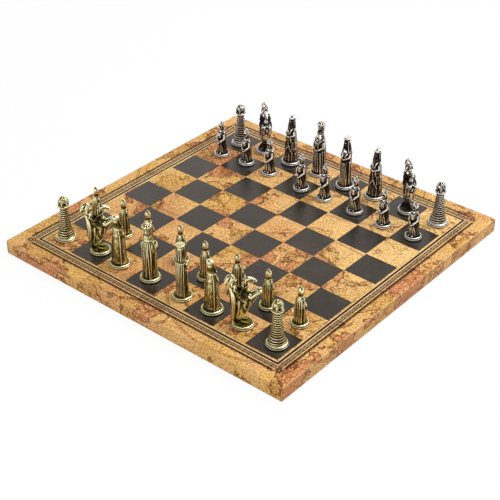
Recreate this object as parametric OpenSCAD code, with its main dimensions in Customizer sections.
// Chess set: a wrapped board with thirty-two cast men, each man on its own felt disc.
// Millimetres, +Z up, with the origin at the centre of the board's underside.
// The gold men stand along the -Y side and face +Y, and the silver men face them.

/* [Board] */
// Side of the square board
board_side = 350; // [320:1:450]
// Side of one square of the field
square_side = 37; // [34:0.5:40]
// Thickness of the whole board
board_t = 15; // [10:0.5:25]
// Thickness of the leatherette wrap
cover_t = 0.8; // [0.6:0.1:1.5]
// Width of the wrap's hem, turned under the panel
hem_w = 15; // [8:1:30]
// Bevel along the board's outer edges
edge_bevel = 0.7; // [0.3:0.1:1]
// Clearance between the hem and the sheet under the panel
liner_gap = 0.3; // [0.1:0.1:1]
// Thickness of the dark squares let into the wrap
inlay_t = 0.3; // [0.2:0.05:0.5]
// Strip of light wrap left on each side of a dark square
inlay_margin = 0.2; // [0.1:0.05:0.5]
// Clearance round a dark square in its pocket
inlay_gap = 0.05; // [0.02:0.01:0.08]

/* [Feet of the men] */
// Thickness of the felt disc
pad_t = 1; // [0.5:0.1:2]
// Glue line between felt and casting
glue_line = 0.05; // [0.02:0.01:0.1]
// How far the felt stays inside the foot's rim
pad_inset = 0.8; // [0.3:0.1:2]
// Height of a cast foot
foot_h = 2.8; // [2:0.1:4]
// Width of the step between the foot's two rims
foot_step = 0.9; // [0.5:0.1:1.4]
// Foot diameter of a pawn
pawn_foot_d = 17.6; // [16:0.2:22]
// Foot diameter of a rook
rook_foot_d = 21; // [20:0.2:26]
// Foot diameter of a knight
knight_foot_d = 21; // [20:0.2:26]
// Foot diameter of a bishop
bishop_foot_d = 21.6; // [20:0.2:26]
// Foot diameter of the king and the queen
royal_foot_d = 20.6; // [19:0.2:26]

/* [Pawn] */
// Height of a pawn's body, foot to shoulders
pawn_body_h = 27.5; // [22:0.5:34]
// Width of the tunic at its hem
pawn_hem_w = 10.9; // [9:0.1:13]
// Width across the elbows
pawn_elbow_w = 12.4; // [10.5:0.1:14]
// Width of the hood
pawn_hood_w = 6; // [5:0.1:7]
// Height of the pointed hood above the shoulders
pawn_hood_h = 11; // [9:0.5:13]

/* [Rook] */
// Height of the bell over the foot
rook_bell_h = 8; // [6:0.5:11]
// Diameter of the bell
rook_bell_d = 16; // [14:0.5:18]
// Diameter of the tower at its foot
rook_tower_low_d = 12.6; // [11:0.1:14]
// Diameter of the tower under the gallery
rook_tower_top_d = 9; // [8:0.1:10]
// Height of the tower's stone courses together
rook_tower_h = 25.5; // [20:0.5:32]
// Number of stone courses
rook_courses = 10; // [6:1:14]
// Diameter of the gallery
rook_gallery_d = 11.4; // [10:0.1:13]
// Height of the gallery with its windows
rook_gallery_h = 7.6; // [6:0.2:10]
// Number of windows round the gallery
rook_windows = 6; // [4:1:8]
// Height of the low dome on top
rook_dome_h = 4; // [2.5:0.1:5]

/* [Bishop] */
// Height of a bishop's body, foot to shoulders
bishop_body_h = 41; // [34:0.5:48]
// Width of the cloak
bishop_cloak_w = 14; // [12:0.1:16]
// Height of head and cap above the shoulders
bishop_head_h = 12.2; // [10:0.2:15]

/* [King] */
// Height of the king's body, foot to shoulders
king_body_h = 45; // [38:0.5:52]
// Width of the robe
king_robe_w = 14.4; // [12:0.1:16]
// Height from the shoulders to the crown's lower edge
king_head_h = 10; // [8.5:0.1:12]
// Diameter of the crown at its top
king_crown_d = 9.6; // [8.4:0.1:11]
// Height of the crown
king_crown_h = 4.6; // [3:0.1:6]

/* [Queen] */
// Height of the queen's body, foot to shoulders
queen_body_h = 42; // [36:0.5:48]
// Width of the fluted gown at the waist
queen_waist_w = 11.6; // [10:0.1:13]
// Height from the shoulders to the crown's lower edge
queen_head_h = 10.4; // [9:0.1:12]
// Diameter of the flat crown
queen_crown_d = 8.8; // [7.6:0.1:10]
// Height of the flat crown
queen_crown_h = 4; // [2.5:0.1:5]

/* [Knight] */
// Height of the rearing horse, foot to ears
knight_horse_h = 50.6; // [46:0.2:55]
// Reach of the raised forelegs in front of the centre
knight_reach = 16.8; // [14:0.2:18]
// Width across the horse's barrel
knight_barrel_w = 11.2; // [9.5:0.1:13]

/* [Hidden] */
squares = 8;
panel_side = board_side - 2 * cover_t;
liner_side = board_side - 2 * hem_w - 2 * liner_gap;
inlay_side = square_side - 2 * inlay_margin;
foot_z = pad_t + glue_line;
body_z = foot_z + foot_h;

// Facets: points round a robe, a cloak or pawn, a head, a limb, a foot and a felt disc
robe_sides = 16;
pawn_sides = 10;
cloak_sides = 10;
head_sides = 8;
limb_sides = 6;
thin_sides = 5;
foot_sides = 12;
pad_sides = 48;
fold_depth = 0.12;

ORDER = ["rook", "knight", "bishop", "king", "queen", "bishop", "knight", "rook"];
FILES = ["a", "b", "c", "d", "e", "f", "g", "h"];
SIDES = ["gold", "silver"];
COLOURS = ["#8f7f45", "#8d8f92"];

// How far each man stands off its square's centre, in X and Y, from file a to file h
OFFICER_SHIFT = [
    [[-3, -4], [2.5, 2], [-4, -2], [-2.5, 0], [4, -2.5], [1.5, 0], [0.5, 1], [4.5, -1.5]],
    [[3, -2], [-1, 1.5], [-1.5, 1], [0, 1], [0.5, -2.5], [-0.5, 0.5], [5, -0.5], [4.5, -0.5]]
];
PAWN_SHIFT = [
    [[0, 0], [0.5, 1], [-4, 1.5], [0.5, 3], [0, -2.5], [-0.5, 1], [0, 0], [1.5, -2]],
    [[4, 2], [0, 5], [-3.5, 3.5], [5.5, 0], [-0.5, -0.5], [1.5, -0.5], [1.5, -2.5], [0, -1.5]]
];
// The knights are turned an eighth of a turn towards the +X side
KNIGHT_TURN = [-45, 45];

function single(kind) = kind == "king" || kind == "queen";
function officer_name(side, i) = str(SIDES[side], "_", ORDER[i], single(ORDER[i]) ? "" : str("_", FILES[i]));
function pad_name(side, i) = str(officer_name(side, i), "_pad");
function pawn_name(side, i) = str(SIDES[side], "_pawn_", FILES[i]);
function foot_d(kind) =
    kind == "rook" ? rook_foot_d
    : kind == "knight" ? knight_foot_d
    : kind == "bishop" ? bishop_foot_d
    : royal_foot_d;
function officer_rank(side) = (side == 0 ? -1 : 1) * (squares - 1) / 2;
function pawn_rank(side) = (side == 0 ? -1 : 1) * (squares - 3) / 2;
function facing(side) = side == 0 ? 0 : 180;
function officer_turn(side, i) = facing(side) + (ORDER[i] == "knight" ? KNIGHT_TURN[side] : 0);

// Outline of a bevelled square or oblong, centred on X and standing on its lower edge
function bevelled(w, h, c) = [
    [-w / 2 + c, 0], [w / 2 - c, 0], [w / 2, c], [w / 2, h - c],
    [w / 2 - c, h], [-w / 2 + c, h], [-w / 2, h - c], [-w / 2, c]
];

// A square slab with every edge bevelled
module bevelled_slab(side, h, c) {
    intersection() {
        translate([0, -side / 2, 0]) linear_extrude(h) polygon(bevelled(side, side, c));
        translate([0, side / 2, 0]) rotate([90, 0, 0]) linear_extrude(side) polygon(bevelled(side, h, c));
        rotate([0, 0, 90]) translate([0, side / 2, 0]) rotate([90, 0, 0])
            linear_extrude(side) polygon(bevelled(side, h, c));
    }
}

// A square plate centred on the origin, from z up
module plate(side, z, h) {
    translate([-side / 2, -side / 2, z]) cube([side, side, h]);
}

// One block on every dark square, from z up
module on_dark_squares(side, z, h) {
    for (i = [0:squares - 1], j = [0:squares - 1])
        if ((i + j) % 2 == 1)
            translate([(i - squares / 2 + 0.5) * square_side, (j - squares / 2 + 0.5) * square_side, 0])
                plate(side, z, h);
}

module board_core() {
    color("tan") plate(panel_side, cover_t, board_t - 2 * cover_t);
}

module board_cover() {
    color("#c48f45") difference() {
        bevelled_slab(board_side, board_t, edge_bevel);
        plate(panel_side, cover_t, board_t - 2 * cover_t);
        plate(board_side - 2 * hem_w, -1, cover_t + 2);
        on_dark_squares(inlay_side + 2 * inlay_gap, board_t - inlay_t, 1);
    }
}

module dark_squares() {
    color("#3a3637") on_dark_squares(inlay_side, board_t - inlay_t, inlay_t);
}

module base_liner() {
    color("#4a4038") plate(liner_side, 0, cover_t);
}

// Puts a man on its square, with its shift and turn
module stand(i, rank, shift, turn) {
    translate([(i - squares / 2 + 0.5) * square_side + shift[0], rank * square_side + shift[1], board_t])
        rotate(turn) children();
}

// A closed skin over rings of points, with a point under the first ring and one over the last
module skin(rings, low, high) {
    n = len(rings[0]);
    last = len(rings) - 1;
    tip = n * len(rings);
    walls = [for (j = [0:last - 1], k = [0:n - 1])
        let (a = j * n + k, b = j * n + (k + 1) % n)
            each [[a, a + n, b + n], [a, b + n, b]]];
    floor_faces = [for (k = [0:n - 1]) [tip, k, (k + 1) % n]];
    roof_faces = [for (k = [0:n - 1]) [tip + 1, last * n + (k + 1) % n, last * n + k]];
    polyhedron(concat([for (r = rings) each r], [low, high]), concat(walls, floor_faces, roof_faces));
}

// One ring, with every other point drawn in by the fold and dropped by the scallop
function ring(z, w, d, forward, fold, scallop, sides) = [for (k = [0:sides - 1])
    let (t = 360 * (k + 0.5) / sides, m = k % 2 == 0 ? 1 : 1 - fold)
        [w / 2 * m * cos(t), forward + d / 2 * m * sin(t), z - (k % 2 == 0 ? scallop : 0)]];

// Drapery over levels of [share of the height, width, depth, forward shift]
module drapery(levels, z, h, fold = fold_depth, scallop = 0, sides = robe_sides) {
    rings = [for (n = [0:len(levels) - 1]) let (l = levels[n])
        ring(z + h * l[0], l[1], l[2], l[3], n == len(levels) - 1 ? 0 : fold, n == 0 ? scallop : 0, sides)];
    top = levels[len(levels) - 1];
    skin(rings, [0, levels[0][3], z + h * levels[0][0] - scallop], [0, top[3], z + h + top[1] / 12]);
}

// A limb between two points, round at both ends
module limb(a, b, ra, rb, sides = limb_sides) {
    hull() {
        translate(a) sphere(ra, $fn = sides);
        translate(b) sphere(rb, $fn = sides);
    }
}

// A rounded mass, longer or flatter than a ball
module lump(centre, w, d, h) {
    levels = [[0.08, 0.5], [0.3, 0.9], [0.55, 1], [0.8, 0.76], [0.95, 0.38]];
    low = centre - [0, 0, h / 2];
    rings = [for (l = levels) [for (p = ring(h * l[0], w * l[1], d * l[1], 0, 0, 0, head_sides)) low + p]];
    skin(rings, low, low + [0, 0, h]);
}

// A crown over levels of [share of the height, diameter, share that every other point stands up]
module crown(levels, z, h) {
    rings = [for (l = levels) [for (k = [0:foot_sides - 1])
        let (t = 360 * (k + 0.5) / foot_sides)
            [l[1] / 2 * cos(t), l[1] / 2 * sin(t), z + h * (l[0] + (k % 2 == 0 ? l[2] : 0))]]];
    skin(rings, [0, 0, z], [0, 0, z + h * levels[len(levels) - 1][0]]);
}

// The felt disc under a foot
module pad(kind_d, sides = pad_sides) {
    color("#2c2a28") cylinder(pad_t, d = kind_d - 2 * pad_inset, $fn = sides);
}

// A cast foot with two bevelled rims
module foot(d, sides = foot_sides) {
    r = d / 2;
    low_h = 0.45 * foot_h;
    bevel = 0.2 * foot_h;
    translate([0, 0, foot_z]) rotate_extrude($fn = sides) polygon([
        [0, 0], [r, 0], [r, low_h], [r - foot_step, low_h + bevel],
        [r - foot_step - bevel, foot_h], [0, foot_h]
    ]);
}

// Both arms, bent at the elbow, with the hands together in front
module folded_arms(shoulder, elbow, hands, r) {
    for (s = [-1, 1]) {
        bend = [s * elbow[0], elbow[1], elbow[2]];
        limb([s * shoulder[0], shoulder[1], shoulder[2]], bend, r * 1.15, r, thin_sides);
        limb(bend, hands, r, r * 0.75, thin_sides);
    }
}

// A guard in a pointed hood and a long tunic, hands on a shield over a sword
module pawn_figure() {
    h = pawn_body_h;
    shoulder_z = body_z + h;
    hands = [0, 5, body_z + 0.5 * h];
    head = [0, 0.3, shoulder_z + 0.34 * pawn_hood_h];
    foot(pawn_foot_d, pawn_sides);
    drapery([
        [-0.02, pawn_hem_w, 9.4, 0], [0.6, pawn_elbow_w - 1.2, 8.8, 0],
        [0.88, 0.84 * pawn_elbow_w, 7.8, 0], [0.98, 0.56 * pawn_elbow_w, 6, 0]
    ], body_z, h, sides = pawn_sides);
    elbow = [pawn_elbow_w / 2 - 1.2, 1.2, body_z + 0.6 * h];
    folded_arms([0.34 * pawn_elbow_w, 0.4, shoulder_z - 3.4], elbow, hands, 1.25);
    limb(hands, [0, 4.6, body_z - 0.4], 1, 0.8, thin_sides);
    limb([0, 3, shoulder_z - 3.6], [0, 3.4, body_z + 0.66 * h], 1.9, 1.6);
    limb([0, 0, shoulder_z - 1.4], head, 2.2, pawn_hood_w / 2);
    limb(head, [0, -0.2, shoulder_z + pawn_hood_h - 0.3], pawn_hood_w / 2, 0.3);
}

// Outline of the round tower, from the foot to the dome, with one rib for each course
function tower_outline() =
    let (bell_z = body_z, tower_z = bell_z + rook_bell_h, step = rook_tower_h / rook_courses,
        collar_z = tower_z + rook_tower_h, gallery_z = collar_z + 0.14 * rook_gallery_h,
        dome_z = collar_z + rook_gallery_h,
        lean = (rook_tower_low_d - rook_tower_top_d) / 2 / rook_courses)
    concat(
        [[0, foot_z + 0.4], [rook_bell_d / 2 + 0.6, bell_z - 0.4], [rook_bell_d / 2 + 0.6, bell_z + 0.5]],
        [for (t = [0:15:75]) [rook_tower_low_d / 2 + (rook_bell_d - rook_tower_low_d) / 2 * cos(t),
            bell_z + 0.5 + (rook_bell_h - 0.5) * sin(t)]],
        [for (k = [0:rook_courses - 1], p = [[-0.55, 0.12], [0, 0.3], [0, 0.75], [-0.55, 0.95]])
            [rook_tower_low_d / 2 - lean * (k + p[1]) + p[0], tower_z + step * (k + p[1])]],
        [[rook_gallery_d / 2, collar_z + 0.2], [rook_gallery_d / 2, gallery_z],
            [rook_gallery_d / 2 - 0.5, gallery_z + 0.3], [rook_gallery_d / 2 - 0.5, dome_z - 0.8],
            [rook_gallery_d / 2 - 0.2, dome_z - 0.5], [rook_gallery_d / 2 - 0.2, dome_z]],
        [for (t = [0:18:72]) [(rook_gallery_d / 2 - 0.8) * cos(t), dome_z + (rook_dome_h - 1.2) * sin(t)]],
        [[0.7, dome_z + rook_dome_h - 1.1], [0.7, dome_z + rook_dome_h - 0.3], [0, dome_z + rook_dome_h]]
    );

// A round tower of stone courses with an arched gallery and a low dome
module rook_figure() {
    window_w = 0.26 * rook_gallery_d;
    window_z = body_z + rook_bell_h + rook_tower_h + 0.3 * rook_gallery_h;
    window_h = 0.5 * rook_gallery_h;
    window_x = rook_gallery_d / 2 - 1.3;
    difference() {
        union() {
            foot(rook_foot_d);
            rotate_extrude($fn = 48) polygon(tower_outline());
        }
        for (k = [0:rook_windows - 1]) rotate(360 * k / rook_windows) {
            translate([window_x, -window_w / 2, window_z]) cube([3, window_w, window_h - window_w / 2]);
            translate([window_x, 0, window_z + window_h - window_w / 2])
                rotate([0, 90, 0]) cylinder(3, d = window_w, $fn = 24);
        }
    }
}

// A bearded churchman in a cloak, with a two-lobed cap and a stole that meets in a V
module bishop_figure() {
    h = bishop_body_h;
    w = bishop_cloak_w;
    shoulder_z = body_z + h;
    hands = [0, 5.6, body_z + 0.56 * h];
    cap_z = shoulder_z + bishop_head_h;
    foot(bishop_foot_d);
    drapery([
        [-0.01, w + 0.4, 12.4, 0], [0.3, w, 11.6, 0], [0.6, w - 0.2, 11.2, 0],
        [0.84, w - 1.2, 10.4, 0], [0.94, 0.7 * w, 8.6, 0], [1, 0.44 * w, 6.4, 0]
    ], body_z, h, fold = 0.08);
    folded_arms([0.34 * w, 1, shoulder_z - 4.6], [w / 2 - 1.6, 2.6, body_z + 0.62 * h], hands, 1.6);
    for (s = [-1, 1]) limb([s * 3, 3.8, shoulder_z - 1], [s * 0.4, 5.4, body_z + 0.6 * h], 0.9, 0.8);
    limb(hands, [0, 5.6, body_z + 0.3 * h], 1.1, 0.6);
    lump([0, 0.6, shoulder_z + 0.32 * bishop_head_h], 6.6, 6.8, 0.9 * bishop_head_h);
    limb([0, 2.4, shoulder_z + 0.16 * bishop_head_h], [0, 3.6, shoulder_z - 3], 1.9, 0.8);
    for (s = [-1, 1])
        limb([s * 1.3, 0, cap_z - 0.38 * bishop_head_h], [s * 1.5, 0, cap_z - 1.5], 2.5, 1.5);
}

// A bearded king in a long robe and mantle, with an open lobed crown
module king_figure() {
    h = king_body_h;
    w = king_robe_w;
    shoulder_z = body_z + h;
    crown_z = shoulder_z + king_head_h - 0.6;
    hands = [0, 5.8, body_z + 0.62 * h];
    foot(royal_foot_d);
    drapery([
        [-0.01, w + 0.3, 12.6, 0], [0.3, w - 0.2, 11.8, 0], [0.62, w, 11.4, 0],
        [0.84, w - 0.8, 10.4, 0], [0.94, 0.72 * w, 8.8, 0], [1, 0.42 * w, 6, 0]
    ], body_z, h);
    drapery([[0, 0.8 * w, 9.8, 0], [0.6, 0.7 * w, 8.6, 0], [1, 0.4 * w, 5.6, 0]],
        shoulder_z - 5, 5.6, fold = 0.04, scallop = 0.5, sides = cloak_sides);
    folded_arms([0.34 * w, 1, shoulder_z - 5], [w / 2 - 1.5, 2.6, body_z + 0.66 * h], hands, 1.6);
    limb(hands, hands + [0, 0.4, 3.4], 1.2, 1.4);
    lump([0, 0.4, shoulder_z + 0.52 * king_head_h], 6.2, 6.6, 0.98 * king_head_h);
    limb([0, 2.2, shoulder_z + 0.34 * king_head_h], [0, 3.6, shoulder_z - 3.4], 2, 0.9);
    for (s = [-1, 1])
        limb([s * 2.2, -0.6, shoulder_z + 0.6 * king_head_h], [s * 2.6, -0.8, shoulder_z], 1.5, 1.1);
    crown([
        [0, king_crown_d - 2.6, 0], [0.8, king_crown_d, 0.24],
        [0.8, king_crown_d - 1.8, 0.24], [0.3, king_crown_d - 4.4, 0]
    ], crown_z, king_crown_h);
}

// A queen in a fluted gown, with a scalloped veil under a flat crown
module queen_figure() {
    h = queen_body_h;
    w = queen_waist_w;
    shoulder_z = body_z + h;
    crown_z = shoulder_z + queen_head_h - 0.6;
    hands = [0, 4.6, body_z + 0.66 * h];
    foot(royal_foot_d);
    drapery([
        [-0.01, w + 1.8, 12, 0], [0.25, w + 0.4, 10.6, 0], [0.62, w, 9.6, 0],
        [0.84, w - 0.6, 9, 0], [0.95, 0.76 * w, 7.6, 0], [1, 0.5 * w, 5.6, 0]
    ], body_z, h, fold = 0.14);
    drapery([
        [0, 0.92 * w, 7.4, -1.4], [0.4, 0.8 * w, 7, -1.2],
        [0.7, 0.62 * w, 6.2, -0.6], [1, 0.56 * w, 6, -0.2]
    ], body_z + 0.86 * h, 0.14 * h + queen_head_h - 0.4, fold = 0.08, scallop = 0.7);
    folded_arms([0.36 * w, 0.8, shoulder_z - 4], [w / 2 - 1.1, 2.2, body_z + 0.72 * h], hands, 1.35);
    limb(hands, hands + [0, 0.8, 1.6], 1, 0.8);
    for (s = [-1, 1]) limb([s * 1.2, 1.4, shoulder_z + 3], [s * 1.5, 3, shoulder_z - 4], 1, 0.7);
    limb([0, 1, shoulder_z + 1], [0, 1.2, shoulder_z - 1], 1.6, 2);
    lump([0, 0.8, shoulder_z + 0.54 * queen_head_h], 5.2, 5.8, 0.9 * queen_head_h);
    crown([
        [0, queen_crown_d - 3, 0], [0.45, queen_crown_d - 0.6, 0],
        [0.85, queen_crown_d, 0], [1, queen_crown_d - 1.6, 0]
    ], crown_z, queen_crown_h);
}

// A place on the knight, in shares of the barrel's width, the reach and the horse's height
function on_knight(p) = [p[0] * knight_barrel_w, p[1] * knight_reach, body_z + p[2] * knight_horse_h];

// Limbs from place to place on the knight, each place with its radius as a share of the barrel's width
module knight_chain(places, sides = limb_sides) {
    for (k = [1:len(places) - 1])
        limb(on_knight(places[k - 1]), on_knight(places[k]),
            places[k - 1][3] * knight_barrel_w, places[k][3] * knight_barrel_w, sides);
}

// A rider on a rearing horse, the cloak falling behind to the foot
module knight_figure() {
    w = knight_barrel_w;
    reach = knight_reach;
    foot(knight_foot_d);
    // Haunch, barrel and chest, then neck, head and muzzle
    knight_chain([[0, -0.27, 0.02, 0.33], [0, -0.24, 0.24, 0.43], [0, 0.04, 0.45, 0.5], [0, 0.3, 0.58, 0.4]]);
    knight_chain([[0, 0.3, 0.58, 0.37], [0, 0.24, 0.88, 0.22], [0, 0.56, 0.87, 0.15], [0, 0.77, 0.84, 0.12]]);
    for (s = [-1, 1]) {
        // Ear, foreleg, hind leg and the rider's leg
        knight_chain([[0.11 * s, 0.2, 0.91, 0.07], [0.12 * s, 0.18, 0.99, 0.03]], thin_sides);
        knight_chain([
            [0.25 * s, 0.3, 0.53, 0.19], [0.25 * s, 1, 0.62, 0.11], [0.23 * s, 0.67, 0.47, 0.09]
        ], thin_sides);
        knight_chain([[0.27 * s, -0.18, 0.16, 0.25], [0.29 * s, 0.04, 0.01, 0.12]], thin_sides);
        knight_chain([
            [0.27 * s, -0.26, 0.59, 0.2], [0.45 * s, 0.06, 0.49, 0.15], [0.45 * s, 0.1, 0.36, 0.11]
        ], thin_sides);
    }
    // Tail on the foot, the rider's body, pointed helmet and two arms
    knight_chain([[0, -0.48, 0.06, 0.12], [0.27, -0.44, 0.01, 0.08]], thin_sides);
    knight_chain([[0, -0.27, 0.57, 0.3], [0, -0.43, 0.76, 0.29]]);
    knight_chain([[0, -0.48, 0.94, 0.22], [0, -0.51, 1.06, 0.03]]);
    knight_chain([[-0.3, -0.42, 0.76, 0.14], [-0.18, 0.15, 0.71, 0.09]], thin_sides);
    knight_chain([
        [0.3, -0.44, 0.77, 0.14], [0.32, -0.81, 0.85, 0.11], [0.21, -0.77, 0.93, 0.08]
    ], thin_sides);
    lump(on_knight([0, -0.48, 0.89]), 0.54 * w, 0.55 * w, 0.16 * knight_horse_h);
    // Cloak from the rider's shoulders down to the foot
    drapery([
        [-0.01, 0.77 * w, 0.41 * w, -0.39 * reach], [0.3, 1.02 * w, 0.45 * w, -0.45 * reach],
        [0.7, 0.89 * w, 0.48 * w, -0.49 * reach], [1, 0.54 * w, 0.41 * w, -0.45 * reach]
    ], body_z, 0.79 * knight_horse_h, sides = cloak_sides);
}

module officer_figure(kind) {
    if (kind == "rook") rook_figure();
    if (kind == "knight") knight_figure();
    if (kind == "bishop") bishop_figure();
    if (kind == "king") king_figure();
    if (kind == "queen") queen_figure();
}

module officer(side, i) {
    color(COLOURS[side])
        stand(i, officer_rank(side), OFFICER_SHIFT[side][i], officer_turn(side, i)) officer_figure(ORDER[i]);
}

module officer_pad(side, i) {
    stand(i, officer_rank(side), OFFICER_SHIFT[side][i], 0) pad(foot_d(ORDER[i]));
}

// Casting and felt disc of one pawn, with the glue line between them
module pawn(side, i) {
    stand(i, pawn_rank(side), PAWN_SHIFT[side][i], facing(side)) {
        color(COLOURS[side]) pawn_figure();
        pad(pawn_foot_d, pawn_sides);
    }
}

board_core();
board_cover();
dark_squares();
base_liner();
for (side = [0:1], i = [0:squares - 1]) {
    officer(side, i);
    officer_pad(side, i);
    pawn(side, i);
}
